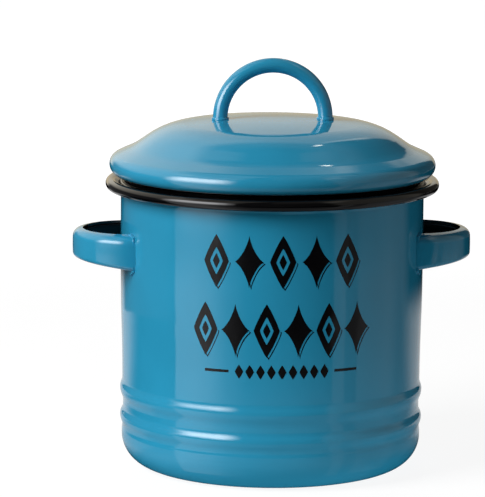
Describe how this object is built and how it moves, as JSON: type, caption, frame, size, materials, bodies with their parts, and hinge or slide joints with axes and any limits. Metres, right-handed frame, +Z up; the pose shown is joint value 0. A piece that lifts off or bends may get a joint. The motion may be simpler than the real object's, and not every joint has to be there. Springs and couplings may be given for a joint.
{
  "type": "grease container",
  "caption": "Enamelled steel grease pot with strap side handles, a domed plug lid with an arch handle, and a stainless strainer hanging in its mouth.",
  "frame": {"origin": "middle of the pot's flat base, on the surface that it stands on", "axes": "+Z up through the lid, the two side handles along X, the strainer's handle towards +Y, the front towards -Y"},
  "size_m": [0.1676, 0.174, 0.1721],
  "materials": {
    "pot_enamel": "glossy vitreous enamel, blue outside, black inside and on the rolled rim",
    "handle_enamel": "glossy vitreous enamel, blue outside, near black inside the channel",
    "lid_enamel": "glossy vitreous enamel, blue outside, black underneath",
    "strainer_steel": "polished stainless steel",
    "strainer_wire": "fine woven stainless wire"
  },
  "bodies": {
    "pot": {"pot_shell": "pot_enamel", "pot_handle_left": "handle_enamel", "pot_handle_right": "handle_enamel"},
    "strainer": {"strainer_ring": "strainer_steel", "strainer_band": "strainer_steel", "strainer_mesh": "strainer_wire", "strainer_hoop": "strainer_steel", "strainer_handle": "strainer_steel", "strainer_rest_ear": "strainer_steel"},
    "lid": {"lid_shell": "lid_enamel", "lid_handle": "lid_enamel"}
  },
  "joints": [
    {"name": "strainer_lift", "type": "slide", "parent": "pot", "child": "strainer", "axis": [0, 0, 1], "range_m": [0, 0.06]},
    {"name": "lid_lift", "type": "slide", "parent": "strainer", "child": "lid", "axis": [0, 0, 1], "range_m": [0, 0.08]}
  ]
}
